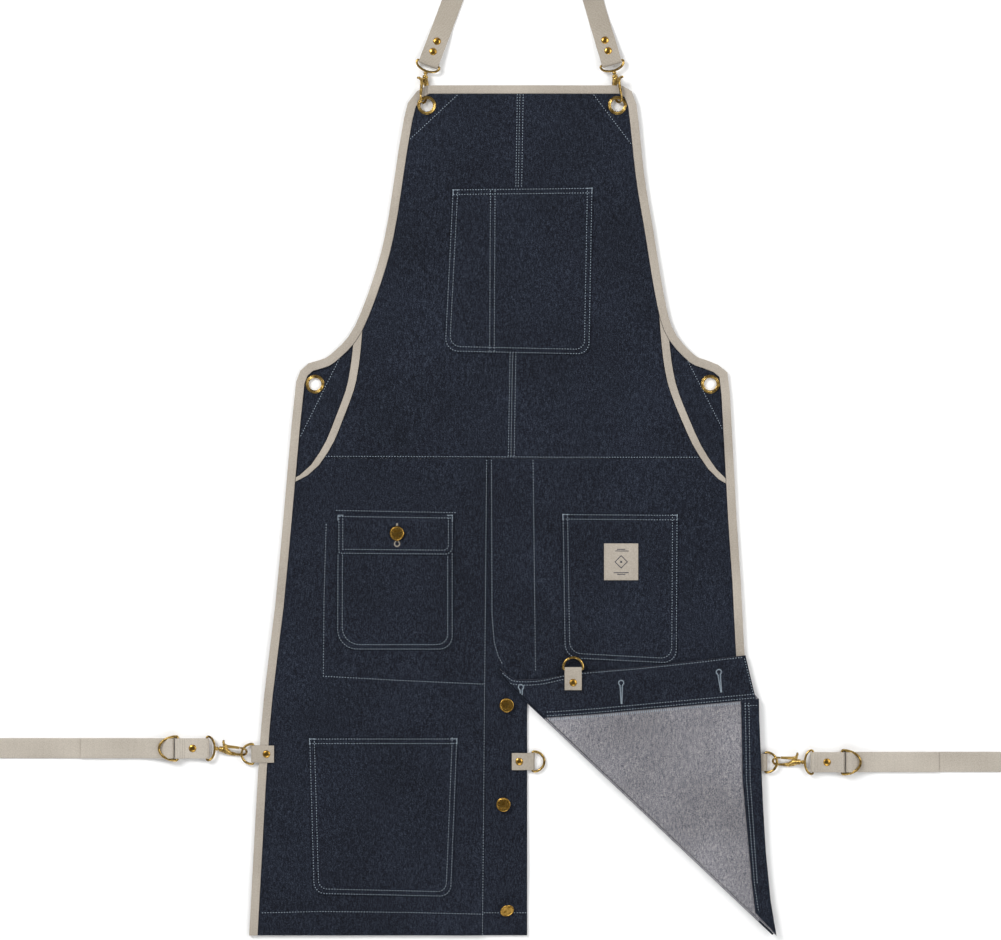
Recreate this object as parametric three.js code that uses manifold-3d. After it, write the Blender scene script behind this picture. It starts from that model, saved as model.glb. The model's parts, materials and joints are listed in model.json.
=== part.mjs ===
// A split-leg denim work apron, lying face up with the lower inner corner of its right leg turned up.
// Millimetres. +Z is up, +Y runs from the hem to the bib, and z = 0 is the surface that it lies on.
import * as THREE from 'three';
import { mergeVertices } from 'three/addons/utils/BufferGeometryUtils.js';
import Module from 'manifold-3d';

const wasm = await Module();
wasm.setup();

// ---- driving dimensions -------------------------------------------------------------------------
const CLOTH = 0.8; // denim thickness
const GAP = 0.3; // clearance between pieces that touch
const FOOT = 1.2; // height of the lowest cloth, which the backs of the metal parts stand under
const TAPE_WIDTH = 10; // edge tape, as it shows on the face
const SEAM_UNDERLAP = 12; // how far a piece runs on under the one that is sewn to it
const LIFT = 2; // how far the bib's top edge is held up by the snap hooks under it
const LIFT_FROM = 930; // height above the hem at which that lift starts
const LIFT_RUN = 40; // length of the slope up to it
const WAIST = 572; // waist seam, above the hem
const TOP = 1019; // bib's top edge, above the hem

const WEB_WIDTH = 24; // webbing of all straps
const WEB = 1.3; // its thickness
const NECK_TOP = 1330; // where the folded neck strap ends, above the hem
const FOLD_TOP = NECK_TOP + 5; // outer edge of that fold
const STRAP_REACH = 706; // from the centre line out to the far hook's bar on each leg strap
const TAIL = 113; // free end of a leg strap, doubled back

const WIRE = 1.5; // radius of the D rings' wire
const TAB_RING = { half: 12, depth: 14 }; // D ring on a tab, to the middle of its wire
const STRAP_RING = { half: 14.3, depth: 19 }; // D ring that the webbing runs through
const TAB_WIDTH = 20.4;
const TAB_CLOTH = 0.7;
const TAB_LENGTH = 25;
const BUTTON_RADIUS = 8.5;
const HOLE_RADIUS = 7.5; // clear hole of a grommet
const BARREL = HOLE_RADIUS + 0.6;
const FLANGE_RADIUS = 11.3;
const RIVET_RADIUS = 4.4;

const HOOK_WIRE = 1.4; // radius of the snap hook's bow
const BOW_HALF = 5.5; // half of the bow's width, to the middle of its wire
const BOW_LENGTH = 22; // from the body to the middle of the wire at the bow's end
const BODY_LENGTH = 11;
const POST = 5.4; // from the body to the middle of the eye's wire
const EYE = { half: 14.2, depth: 9.5 }; // D-shaped eye of the hook
const DEGREE = Math.PI / 180;
const LEG_ROLL = 38 * DEGREE; // how far a leg strap's hook is rolled so that it links its ring
const NECK_ROLL = 53 * DEGREE; // the same for a hook that passes through a grommet

// Each further layer of cloth lies one thickness and one clearance higher.
const level = (n) => FOOT + n * (CLOTH + GAP);
const INNER = 0;
const MAIN = 1;
const POCKET = 2;
const UPPER = 3;
const TAPE_TOP = level(MAIN) + CLOTH + CLOTH; // the tape stands one thickness proud of the cloth
const TURNED = level(MAIN) + CLOTH + 3.4; // underside of the turned corner, clear of the tab under it

// ---- outlines, from the hem's centre --------------------------------------------------------------
const LEFT_EDGE = [[-318, -30], [-306, 190], [-298, 290], [-285, 396], [-274, 516], [-266, 606], [-260, 664]];
const LEFT_CORNER = [[-255, 677], [-245, 686]];
const LEFT_ARMHOLE = [[-231, 690], [-218, 697], [-192, 726], [-168, 786], [-152, 846], [-138, 936], [-130.5, 980]];
const LEFT_TOP = [[-126, 998], [-115, 1012]];
const RIGHT_TOP = [[130, TOP], [142, 1012], [148, 996]];
const RIGHT_ARMHOLE = [[151, 970], [158, 906], [168, 846], [180, 772], [192, 726], [216, 697], [231, 690]];
const RIGHT_CORNER = [[246, 684], [257, 675]];
const RIGHT_EDGE = [[260, 650], [264, 576], [268, 500], [273, 426], [277, 346], [288, 180], [308, -30]];
const LEFT_POCKET_EDGE = [[-178, 752], [-182, 704], [-185, 680], [-190, 655], [-203, 620], [-217, 587],
  [-241, 555], [-282, 534]];
const RIGHT_POCKET_EDGE = [[174, 752], [178, 704], [182, 676], [188, 652], [202, 617], [218, 583],
  [242, 550], [276, 531]];

const INNER_EDGE = -27.6; // inner edge of the right leg
const LEG_SEAM = -31; // seam between the left leg and its button strip
const STRIP_EDGE = 17; // free edge of the button strip
const STRIP_SEAM_LOW = -36;
const FOLD = [[-24, 320.5], [315, 0]]; // crease of the turned-up corner
const FOLD_LIP = 5;
const TURNED_TOP = [[-21, 319], [4, 306.5], [32, 307], [75, 315], [165, 323], [278.5, 336]];
const TURNED_SIDE = [[289, 290], [294, 284], [294, 258], [298.8, 162], [302.4, 102], [308.4, 42], [315.6, 0]];
const BAND_LOWER = [[291, 283], [224, 277], [104, 266], [39, 261.5]];

const BIB_SEAM = [[9, TOP], [7, 900], [0, 696], [-2, WAIST]];

const GROMMETS = { bib_left: [-103.5, 995], bib_right: [125, 995], side_left: [-237.5, 661], side_right: [236.5, 661] };
const STRIP_BUTTONS = [[-7.5, 276], [-11.5, 157], [-8, 32]];
const FLAP_BUTTON = [-139, 482];
const FLAP_HINGE = 504;
const LABEL = { left: 109, right: 150, low: 426, high: 470 };

// ---- solids -------------------------------------------------------------------------------------------
function solid(geometry) {
  const plain = geometry.index ? geometry.toNonIndexed() : geometry.clone();
  plain.deleteAttribute('normal');
  plain.deleteAttribute('uv');
  const merged = mergeVertices(plain, 1e-4);
  return new wasm.Manifold(new wasm.Mesh({
    numProp: 3,
    vertProperties: merged.attributes.position.array,
    triVerts: new Uint32Array(merged.index.array),
  }));
}

function geometryOf(manifold) {
  const mesh = manifold.getMesh();
  const geometry = new THREE.BufferGeometry();
  geometry.setAttribute('position', new THREE.BufferAttribute(mesh.vertProperties, 3));
  geometry.setIndex(new THREE.BufferAttribute(mesh.triVerts, 1));
  return geometry;
}

const vectors = (points) => points.map(([x, y]) => new THREE.Vector2(x, y));
const smooth = (points, steps) => new THREE.SplineCurve(vectors(points)).getPoints(steps).map((p) => [p.x, p.y]);
const circle = (x, y, radius, sides = 24) => Array.from({ length: sides }, (_, i) => {
  const turn = i / sides * 2 * Math.PI;
  return [x + radius * Math.cos(turn), y + radius * Math.sin(turn)];
});

function prism(points, low, high, holes = []) {
  const shape = new THREE.Shape(vectors(points));
  shape.holes = holes.map((hole) => new THREE.Path(vectors(hole)));
  const geometry = new THREE.ExtrudeGeometry(shape, { depth: high - low, bevelEnabled: false });
  return geometry.translate(0, 0, low);
}

// A flat strip across the whole apron whose height follows the lift of the bib's top edge.
function lifted(low, high) {
  const slope = LIFT_FROM + LIFT_RUN;
  const section = [[-20, low], [LIFT_FROM, low], [slope, low + LIFT], [TOP + 40, low + LIFT],
    [TOP + 40, high + LIFT], [slope, high + LIFT], [LIFT_FROM, high], [-20, high]];
  const geometry = prism(section, -400, 400); // drawn in (Y, Z), run along X
  const turn = new THREE.Matrix4().makeBasis(
    new THREE.Vector3(0, 1, 0), new THREE.Vector3(0, 0, 1), new THREE.Vector3(1, 0, 0));
  return solid(geometry.applyMatrix4(turn));
}

// A polygon moved in by a distance, corner by corner. It runs anticlockwise.
function inset(points, distance) {
  return points.map((p, i) => {
    const before = points[(i + points.length - 1) % points.length];
    const after = points[(i + 1) % points.length];
    const a = new THREE.Vector2(p[0] - before[0], p[1] - before[1]).normalize();
    const b = new THREE.Vector2(after[0] - p[0], after[1] - p[1]).normalize();
    const bisector = new THREE.Vector2(-a.y - b.y, a.x + b.x).normalize();
    const reach = distance / Math.max(0.5, bisector.dot(new THREE.Vector2(-a.y, a.x)));
    return [p[0] + bisector.x * reach, p[1] + bisector.y * reach];
  });
}

// A round wire along a flat path in XY, closed on itself or with flat ends.
function wire(path, radius, closed, sides = 6) {
  const count = path.length;
  const vertices = [];
  const faces = [];
  path.forEach((p, i) => {
    const before = closed || i > 0 ? path[(i + count - 1) % count] : p;
    const after = closed || i < count - 1 ? path[(i + 1) % count] : p;
    const along = new THREE.Vector2(after[0] - before[0], after[1] - before[1]).normalize();
    for (let k = 0; k < sides; k++) {
      const turn = k / sides * 2 * Math.PI;
      const out = radius * Math.cos(turn);
      vertices.push(p[0] + along.y * out, p[1] - along.x * out, radius * Math.sin(turn));
    }
  });
  const rings = closed ? count : count - 1;
  for (let i = 0; i < rings; i++) {
    const next = (i + 1) % count;
    for (let k = 0; k < sides; k++) {
      const side = (k + 1) % sides;
      const [a, b, c, d] = [i * sides + k, next * sides + k, next * sides + side, i * sides + side];
      faces.push(a, c, b, a, d, c);
    }
  }
  for (let k = 1; !closed && k < sides - 1; k++) {
    const end = (count - 1) * sides;
    faces.push(0, k + 1, k, end, end + k, end + k + 1);
  }
  const geometry = new THREE.BufferGeometry();
  geometry.setAttribute('position', new THREE.Float32BufferAttribute(vertices, 3));
  geometry.setIndex(faces);
  return fixOrientation(geometry);
}

// Turns a closed body's faces outwards if its volume comes out negative.
function fixOrientation(geometry) {
  const p = geometry.attributes.position;
  const index = geometry.index.array;
  const corner = (n) => new THREE.Vector3().fromBufferAttribute(p, index[n]);
  let volume = 0;
  for (let n = 0; n < index.length; n += 3) {
    volume += corner(n).dot(corner(n + 1).cross(corner(n + 2)));
  }
  for (let n = 0; volume < 0 && n < index.length; n += 3) {
    [index[n + 1], index[n + 2]] = [index[n + 2], index[n + 1]];
  }
  return geometry;
}

// A D ring in XY: its bar lies on the Y axis and its bow bulges towards +X.
function ringPath({ half, depth }) {
  const round = 1.5;
  const bow = Array.from({ length: 15 }, (_, i) => {
    const turn = Math.PI * (0.5 - i / 14);
    return [round + (depth - round) * Math.cos(turn), half * Math.sin(turn)];
  });
  const nick = round * 0.3;
  return [[0, round - half], [0, half - round], [nick, half - nick], ...bow, [nick, nick - half]];
}

// A strip of webbing or tab, drawn in (X, Z) as it is seen from its edge, and run across Y.
function strip(section, width, holes = []) {
  return prism(section, -width / 2, width / 2, holes).rotateX(Math.PI / 2);
}

// A rounded patch pocket from four corners, anticlockwise from the lower left.
function patch(corners, radius, low, holes = []) {
  const outline = [];
  corners.forEach(([x, y], i) => {
    const before = new THREE.Vector2(...corners[(i + 3) % 4]).sub(new THREE.Vector2(x, y)).normalize();
    const after = new THREE.Vector2(...corners[(i + 1) % 4]).sub(new THREE.Vector2(x, y)).normalize();
    const r = radius[i];
    if (r === 0) {
      outline.push([x, y]);
      return;
    }
    for (let k = 0; k <= 4; k++) {
      const t = k / 4;
      const back = r * (1 - t) * (1 - t);
      const on = r * t * t;
      outline.push([x + before.x * back + after.x * on, y + before.y * back + after.y * on]);
    }
  });
  return prism(outline, low, low + CLOTH, holes);
}

// ---- the object ---------------------------------------------------------------------------------------
const apron = new THREE.Group();
apron.position.y = -FOLD_TOP / 2; // the origin is the middle of everything, on the surface

const denim = { color: 0x20242f, roughness: 0.9, metalness: 0 };
const canvas = { color: 0xbab1a5, roughness: 0.92, metalness: 0 };
const webbing = { color: 0xc5bdb0, roughness: 0.9, metalness: 0 };
const brass = { color: 0xb08a3a, roughness: 0.3, metalness: 1 };

function add(name, shape, look, parent = apron) {
  const geometry = shape.isBufferGeometry ? shape : geometryOf(shape);
  const mesh = new THREE.Mesh(geometry, new THREE.MeshStandardMaterial(look));
  mesh.name = name;
  parent.add(mesh);
  return mesh;
}

const REACH = 400; // of the cutting blocks, past the apron on every side
const block = (x0, y0, x1, y1, low = -5, high = 30) =>
  solid(prism([[x0, y0], [x1, y0], [x1, y1], [x0, y1]], low, high));

const outline = [
  ...smooth(RIGHT_EDGE.toReversed(), 12),
  ...RIGHT_CORNER.toReversed(),
  ...smooth(RIGHT_ARMHOLE.toReversed(), 20),
  ...RIGHT_TOP.toReversed(),
  [-103, TOP],
  ...LEFT_TOP.toReversed(),
  ...smooth(LEFT_ARMHOLE.toReversed(), 20),
  ...LEFT_CORNER.toReversed(),
  ...smooth(LEFT_EDGE.toReversed(), 12),
];
const clothEdge = inset(outline, TAPE_WIDTH + GAP);
const tapeEdge = inset(outline, TAPE_WIDTH);

// The hip pocket's opening: everything outside it belongs to the wing and its tape.
const beyondPocket = (edge, side, shift) => {
  const curve = smooth(edge, 16).map(([x, y]) => [x + side * shift, y]);
  const far = side * REACH;
  return solid(prism([...curve, [far, curve.at(-1)[1]], [far, curve[0][1]]], -5, 30));
};

const aboveHem = block(-REACH, 0, REACH, TOP + 20);
const whole = (points, low, high) =>
  solid(prism(points, -5, 30)).intersect(lifted(low, high)).intersect(aboveHem);

function makeCloth() {
  const main = whole(clothEdge, level(MAIN), level(MAIN) + CLOTH);
  const pockets = beyondPocket(LEFT_POCKET_EDGE, -1, 0).add(beyondPocket(RIGHT_POCKET_EDGE, 1, 0));
  const body = main.subtract(pockets);
  const seam = smooth(BIB_SEAM, 8);
  const beside = (shift) => solid(prism([...seam.map(([x, y]) => [x + shift, y]), [-REACH, WAIST], [-REACH, TOP]],
    -5, 30));
  const bib = body.intersect(block(-REACH, WAIST + GAP, REACH, TOP + 20));
  const eyelets = holes(['bib_left', 'bib_right']);
  add('bib_left', bib.intersect(beside(0)).subtract(eyelets), denim);
  add('bib_right', bib.subtract(beside(GAP)).subtract(eyelets), denim);

  const skirt = body.intersect(block(-REACH, -20, REACH, WAIST));
  const leftLeg = solid(prism([[-REACH, 0], [STRIP_SEAM_LOW, 0], [LEG_SEAM, WAIST], [-REACH, WAIST]], -5, 30));
  add('leg_left', skirt.intersect(leftLeg), denim);
  add('button_strip', prism([[STRIP_SEAM_LOW - SEAM_UNDERLAP, 0], [STRIP_EDGE, 0], [STRIP_EDGE, WAIST - GAP],
    [LEG_SEAM - SEAM_UNDERLAP, WAIST - GAP]], level(INNER), level(INNER) + CLOTH), denim);
  const rightLeg = solid(prism([[INNER_EDGE, FOLD[0][1] + 6], FOLD[0], FOLD[1], [REACH, 0],
    [REACH, WAIST], [INNER_EDGE, WAIST]], -5, 30));
  add('leg_right', skirt.intersect(rightLeg), denim);

  for (const [name, edge, side] of [['left', LEFT_POCKET_EDGE, -1], ['right', RIGHT_POCKET_EDGE, 1]]) {
    const facing = solid(prism(clothEdge, level(INNER), level(INNER) + CLOTH))
      .intersect(beyondPocket(edge, side, -SEAM_UNDERLAP))
      .subtract(holes([`side_${name}`]));
    add(`wing_${name}`, facing, denim);
  }
}

function holes(names, radius = BARREL + 2 * GAP) {
  const cuts = names.map((name) => solid(prism(circle(...GROMMETS[name], radius), -5, 30)));
  return cuts.reduce((all, one) => all.add(one));
}

// The tape is one strip round each side and one along the top. The grommets' flanges bite into it.
function makeTapes() {
  const rim = whole(outline, level(INNER), TAPE_TOP).subtract(solid(prism(tapeEdge, -5, 30)))
    .subtract(holes(Object.keys(GROMMETS), FLANGE_RADIUS + GAP));
  const [topLeft, topRight] = [-103, 130];
  add('tape_top', rim.intersect(block(topLeft, TOP - 14, topRight, TOP + 20)), canvas);
  add('tape_left', rim.intersect(block(-REACH, -20, topLeft - GAP, TOP + 20)), canvas);
  add('tape_right', rim.intersect(block(topRight + GAP, -20, REACH, TOP + 20)), canvas);

  for (const [name, edge, side] of [['left', LEFT_POCKET_EDGE, -1], ['right', RIGHT_POCKET_EDGE, 1]]) {
    const opening = beyondPocket(edge, side, 2 * GAP)
      .subtract(beyondPocket(edge, side, TAPE_WIDTH))
      .intersect(solid(prism(inset(outline, TAPE_WIDTH + 2 * GAP), level(MAIN), TAPE_TOP)));
    add(`pocket_tape_${name}`, opening, canvas);
  }
}

function makePockets() {
  const low = level(POCKET);
  add('bib_pocket', patch([[-82, 699], [92.5, 696], [96, 897], [-73, 895]], [16, 14, 0, 0], low), denim);
  add('flap_pocket', patch([[-211.5, 342], [-71.5, 342], [-71.5, 500], [-211, 500]], [26, 16, 0, 0], low), denim);
  const [x, y] = FLAP_BUTTON;
  const slot = circle(x, y, BUTTON_RADIUS + GAP + 0.3);
  add('pocket_flap', patch([[-210, 457], [-71.5, 456], [-71.5, FLAP_HINGE], [-210, FLAP_HINGE]], [3, 9, 0, 0],
    level(UPPER), [slot]), denim);
  add('lower_pocket', patch([[-240, 49], [-73, 46], [-66, 237], [-245, 237]], [14, 14, 0, 0], low), denim);
  add('right_pocket', patch([[61, 331], [197, 326], [198, 505], [58.5, 506]], [18, 16, 0, 0], low), denim);
  add('hidden_pocket', prism([[-228, 311], [STRIP_SEAM_LOW - SEAM_UNDERLAP - GAP - 6, 302],
    [STRIP_SEAM_LOW - SEAM_UNDERLAP - GAP - 4, 494], [-224, 494]], level(INNER), level(INNER) + CLOTH), denim);
  const { left, right, low: bottom, high } = LABEL;
  add('label', prism([[left, bottom], [right, bottom], [right, high], [left, high]],
    level(POCKET) + CLOTH + GAP, level(POCKET) + 2 * CLOTH + GAP), canvas);
}

// The corner is turned up over the leg and rests on it along a folded lip beside the crease.
function makeTurnedCorner() {
  const shape = [...TURNED_TOP, ...TURNED_SIDE];
  const [from, to] = vectors(FOLD);
  const over = new THREE.Vector2(from.y - to.y, to.x - from.x).normalize().multiplyScalar(FOLD_LIP);
  const lip = solid(prism([FOLD[0], FOLD[1], [to.x + over.x, to.y + over.y], [from.x + over.x, from.y + over.y]],
    level(MAIN) + CLOTH + GAP, TURNED + CLOTH));
  const cloth = solid(prism(shape, TURNED, TURNED + CLOTH));
  const beside = solid(prism(shape, -5, 30)).intersect(block(-REACH, 0, 280, WAIST));
  add('turned_corner', cloth.add(lip.intersect(beside)), denim);
  add('buttonhole_band', prism([...TURNED_TOP, ...BAND_LOWER], TURNED + CLOTH + GAP, TURNED + 2 * CLOTH + GAP),
    denim);
}

// A tab wraps the bar of its ring. It is drawn with the ring towards -X and the bar at its origin.
function tabSection() {
  const inner = WIRE + GAP;
  const outer = inner + TAB_CLOTH;
  const half = (radius) => Array.from({ length: 9 }, (_, i) => {
    const turn = Math.PI / 2 + i / 8 * Math.PI;
    return [radius * Math.cos(turn), radius * Math.sin(turn)];
  });
  return [...half(outer), [TAB_LENGTH, -outer], [TAB_LENGTH, -inner],
    ...half(inner).toReversed(), [TAB_LENGTH, inner], [TAB_LENGTH, outer]];
}

function makeTab(name, bar, turn, ringTilt) {
  const holder = new THREE.Group();
  holder.position.set(...bar);
  holder.rotation.z = turn;
  apron.add(holder);
  const rivet = rivetHead(16, WIRE + GAP + TAB_CLOTH);
  add(`tab_${name}`, solid(strip(tabSection(), TAB_WIDTH)).add(rivet), canvas, holder);
  const ring = add(`ring_${name}`, wire(ringPath(TAB_RING), WIRE, true), brass, holder);
  ring.rotation.set(0, ringTilt, Math.PI);
  return holder;
}

// A low domed head whose rim is sunk a little into the cloth at height z.
function rivetHead(x, z) {
  const section = [[0, -0.6], [RIVET_RADIUS, -0.6], [RIVET_RADIUS, 0.4], [RIVET_RADIUS - 1.6, 1], [0, 1.2]];
  return solid(lathe(section, 12).translate(x, 0, z));
}

function makeGrommets() {
  for (const [name, [x, y]] of Object.entries(GROMMETS)) {
    const onBib = name.startsWith('bib');
    const low = (onBib ? level(MAIN) + LIFT : level(INNER)) - GAP;
    const high = low + CLOTH + 2 * GAP;
    const section = [[HOLE_RADIUS, low - 0.3], [HOLE_RADIUS + 0.5, low - 0.7], [FLANGE_RADIUS - 0.6, low - 0.7],
      [FLANGE_RADIUS - 0.6, low], [BARREL, low], [BARREL, high], [FLANGE_RADIUS, high],
      [FLANGE_RADIUS - 0.5, high + 0.8], [FLANGE_RADIUS - 2, high + 1.3], [HOLE_RADIUS + 0.8, high + 1.1],
      [HOLE_RADIUS, high + 0.5], [HOLE_RADIUS, low - 0.3]];
    const grommet = add(`grommet_${name}`, lathe(section, 24), brass);
    grommet.position.set(x, y, 0);
  }
}

function lathe(section, sides) {
  const geometry = new THREE.LatheGeometry(vectors(section), sides).rotateX(Math.PI / 2);
  geometry.deleteAttribute('normal');
  geometry.deleteAttribute('uv');
  const merged = mergeVertices(geometry, 1e-4);
  const index = merged.index.array;
  const faces = [];
  for (let n = 0; n < index.length; n += 3) {
    const [a, b, c] = index.slice(n, n + 3);
    if (a !== b && b !== c && c !== a) faces.push(a, b, c); // a point on the axis closes to nothing
  }
  merged.setIndex(faces);
  return fixOrientation(merged);
}

function makeButton(name, [x, y], seat, tilt = [0, 0]) {
  const head = 2.6;
  const section = [[0, 0], [3, 0], [2.4, 0.6], [2.4, head], [BUTTON_RADIUS - 0.8, head], [BUTTON_RADIUS, head + 0.7],
    [BUTTON_RADIUS - 0.6, head + 1.7], [BUTTON_RADIUS - 1.6, head + 2], [BUTTON_RADIUS - 2.6, head + 1.6],
    [0, head + 2.2]];
  const button = add(name, lathe(section, 20), brass);
  button.position.set(x, y, seat + GAP);
  button.rotation.set(tilt[0], tilt[1], 0);
}

// ---- snap hooks ---------------------------------------------------------------------------------------
// Drawn with the bow towards -X, the body at X = 0 and the eye towards +X, flat in XY.
const GATE_TIP = -13.5; // where the trigger's gate meets the end of the bow
const along = (radius, from, to) =>
  new THREE.CylinderGeometry(radius, radius, to - from, 12).rotateZ(Math.PI / 2).translate((from + to) / 2, 0, 0);

function hookGeometry() {
  const turnAt = BOW_HALF - BOW_LENGTH;
  const bow = [[3, 1.3 - BOW_HALF], [1, 0.3 - BOW_HALF], [-0.5, -BOW_HALF]];
  for (let i = 0; i <= 10; i++) {
    const turn = -Math.PI / 2 - i / 10 * Math.PI;
    bow.push([turnAt + BOW_HALF * Math.cos(turn), BOW_HALF * Math.sin(turn)]);
  }
  bow.push([GATE_TIP - GAP, BOW_HALF]);
  const back = BODY_LENGTH - 3;
  const cheek = prism([[0, -5.2], [3, -5], [back, -3], [back, 3.4], [4, 3.4], [0, 2.2]], -1.6, 1.6);
  return geometryOf(solid(wire(bow, HOOK_WIRE, false)).add(solid(cheek)).add(solid(along(3.4, 5, BODY_LENGTH)))
    .subtract(solid(along(BORE, 7, BODY_LENGTH + 1))));
}

function triggerGeometry() {
  return prism([[GATE_TIP, 4.3], [2, 4], [6.6, 4.2], [7, 7.4], [7.6, 13.2], [5, 13.4], [3.8, 8.2], [1, 7.2],
    [GATE_TIP, 6.8]], -1.5, 1.5);
}

// The eye's bar is its far side. A tilt turns the eye on its post towards the strap.
const BORE = 2;
function eyeGeometry(tilt) {
  const neck = BODY_LENGTH + POST;
  const loop = wire(ringPath(EYE), HOOK_WIRE, true).rotateZ(Math.PI).translate(EYE.depth, 0, 0).rotateZ(tilt)
    .translate(neck, 0, 0);
  return geometryOf(solid(loop).add(solid(along(BORE - GAP, 8, neck))));
}

// The bow ends at a place in the middle of its wire. Returns the middle of the eye's bar and its direction.
function makeSnap(name, [x, y, z], heading, roll, strapHeading) {
  const ahead = new THREE.Vector3(Math.cos(heading), Math.sin(heading), 0);
  const holder = new THREE.Group();
  holder.position.set(x, y, z).addScaledVector(ahead, BOW_LENGTH);
  holder.rotation.order = 'ZYX';
  holder.rotation.set(roll, 0, heading);
  apron.add(holder);
  add(`hook_${name}`, hookGeometry(), brass, holder);
  add(`trigger_${name}`, triggerGeometry(), brass, holder);
  const eye = add(`eye_${name}`, eyeGeometry(strapHeading - heading), brass, holder);
  eye.rotation.x = -roll;
  const bar = holder.position.clone().addScaledVector(ahead, BODY_LENGTH + POST);
  bar.x += EYE.depth * Math.cos(strapHeading);
  bar.y += EYE.depth * Math.sin(strapHeading);
  return { bar, heading: strapHeading };
}

// ---- straps -------------------------------------------------------------------------------------------
const arc = (x, z, radius, from, to, steps = 8) => Array.from({ length: steps + 1 }, (_, i) => {
  const turn = from + i / steps * (to - from);
  return [x + radius * Math.cos(turn), z + radius * Math.sin(turn)];
});
const QUARTER = Math.PI / 2;
const ringOf = (x, z, radius) => arc(x, z, radius, 0, 4 * QUARTER, 10).slice(0, -1);

// One arm of the neck strap: folded round the eye's bar, doubled past the rivets, then single to the top.
function neckArm(length, barHeight) {
  const inner = HOOK_WIRE + GAP;
  const outer = inner + WEB;
  const section = [...arc(0, barHeight, outer, QUARTER, 3 * QUARTER), [18, 3.1], [50, 0], [length, 0],
    [length, WEB], [50, WEB], [36, 4], [18, 6.3]];
  return solid(strip(section, WEB_WIDTH, [ringOf(0, barHeight, inner)]))
    .add(rivetHead(15, 6.8)).add(rivetHead(28.5, 5.1));
}

function makeNeckStrap(ends) {
  const arms = ends.map(({ bar, heading }) => {
    const length = (NECK_TOP - bar.y) / Math.sin(heading);
    return solid(geometryOf(neckArm(length, bar.z)).rotateZ(heading).translate(bar.x, bar.y, 0));
  });
  const [left, right] = ends.map(({ bar, heading }) => bar.x + (NECK_TOP - bar.y) / Math.tan(heading));
  const across = block(left - WEB_WIDTH / 2, NECK_TOP - WEB_WIDTH, right + WEB_WIDTH / 2, FOLD_TOP, 0, WEB);
  add('neck_strap', arms[0].add(arms[1]).add(across), webbing);
}

// A leg strap is drawn along +X, with its hook's eye bar at the origin and the far hook's bar at its end.
const BAR_HEIGHT = 4.9; // eye bar above the surface
const FAR_HEIGHT = 3.4; // the same for the far hook, which lies flat on its body
const RING_LOW = WEB + GAP + WIRE; // lower adjuster ring
const RING_HIGH = RING_LOW + 2 * WIRE + GAP; // upper adjuster ring
const RING_BAR = 35; // from the eye's bar to the adjuster rings' bars
const UPPER_RING = { half: STRAP_RING.half, depth: STRAP_RING.depth + 3 };

// The short end, folded round the eye's bar on one side and the two rings' bars on the other.
function strapEnd() {
  const inner = WIRE + GAP;
  const outer = inner + WEB;
  const section = [...arc(0, BAR_HEIGHT, HOOK_WIRE + GAP + WEB, QUARTER, 3 * QUARTER), [9, 2.6], [26, 2.4],
    ...arc(RING_BAR, RING_LOW, outer, 3 * QUARTER, 4 * QUARTER, 4),
    ...arc(RING_BAR, RING_HIGH, outer, 0, QUARTER, 4), [26, 5.4], [9, 5.6]];
  const ringHole = [...arc(RING_BAR, RING_LOW, inner, 2 * QUARTER, 4 * QUARTER),
    ...arc(RING_BAR, RING_HIGH, inner, 0, 2 * QUARTER)];
  return solid(strip(section, WEB_WIDTH, [ringOf(0, BAR_HEIGHT, HOOK_WIRE + GAP), ringHole]))
    .add(rivetHead(17, 5.5));
}

// The long webbing goes up through both rings and back over them, and its free end lies on itself.
function longStrap(reach) {
  const start = RING_BAR + WIRE + 2 * GAP + WEB;
  const bulge = RING_BAR + UPPER_RING.depth + WIRE + 2 * GAP;
  const top = RING_HIGH + WIRE + GAP;
  const inner = HOOK_WIRE + GAP;
  const section = [[start, 0], [reach - 24, 0], ...arc(reach, FAR_HEIGHT, inner + WEB, -QUARTER, QUARTER),
    [reach - 22, 2 * WEB + 0.6], [reach - 30, WEB], [start + TAIL, WEB], [start + TAIL, 2 * WEB],
    [bulge + 16, 2 * WEB + 0.2], [bulge, top + WEB], [start, top + WEB]];
  const slot = [[start + WEB, WEB], [bulge + 12, WEB], [bulge, top], [start + WEB, top]];
  return strip(section, WEB_WIDTH, [slot, ringOf(reach, FAR_HEIGHT, inner)]);
}

function makeLegStrap(name, { bar, heading }) {
  const holder = new THREE.Group();
  holder.position.set(bar.x, bar.y, 0);
  holder.rotation.z = heading;
  apron.add(holder);
  const reach = STRAP_REACH - Math.abs(bar.x);
  add(`strap_end_${name}`, strapEnd(), webbing, holder);
  const low = add(`slider_low_${name}`, wire(ringPath(STRAP_RING), WIRE, true), brass, holder);
  low.position.set(RING_BAR, 0, RING_LOW);
  const high = add(`slider_high_${name}`, wire(ringPath(UPPER_RING), WIRE, true), brass, holder);
  high.position.set(RING_BAR, 0, RING_HIGH);
  add(`leg_strap_${name}`, longStrap(reach), webbing, holder);
  const pivot = solid(prism([[2, 1], [6, 1], [6, 6], [2, 6]], -1.5, 1.5));
  const snap = solid(hookGeometry()).add(solid(triggerGeometry())).add(pivot)
    .add(solid(along(BORE + GAP, 6.5, BODY_LENGTH + 2))).add(solid(eyeGeometry(0)));
  const far = add(`far_snap_${name}`, snap, brass, holder);
  far.rotation.z = Math.PI;
  far.position.set(reach + BODY_LENGTH + POST + EYE.depth, 0, FAR_HEIGHT);
}

// ---- assembly -----------------------------------------------------------------------------------------
makeCloth();
makeTapes();
makePockets();
makeTurnedCorner();
makeGrommets();

makeButton('button_flap', FLAP_BUTTON, level(POCKET) + CLOTH);
makeButton('button_top', STRIP_BUTTONS[0], level(INNER) + CLOTH);
makeButton('button_middle', STRIP_BUTTONS[1], level(INNER) + CLOTH);
makeButton('button_bottom', STRIP_BUTTONS[2], level(INNER) + CLOTH + 2.4, [0.55, 0.3]);

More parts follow.
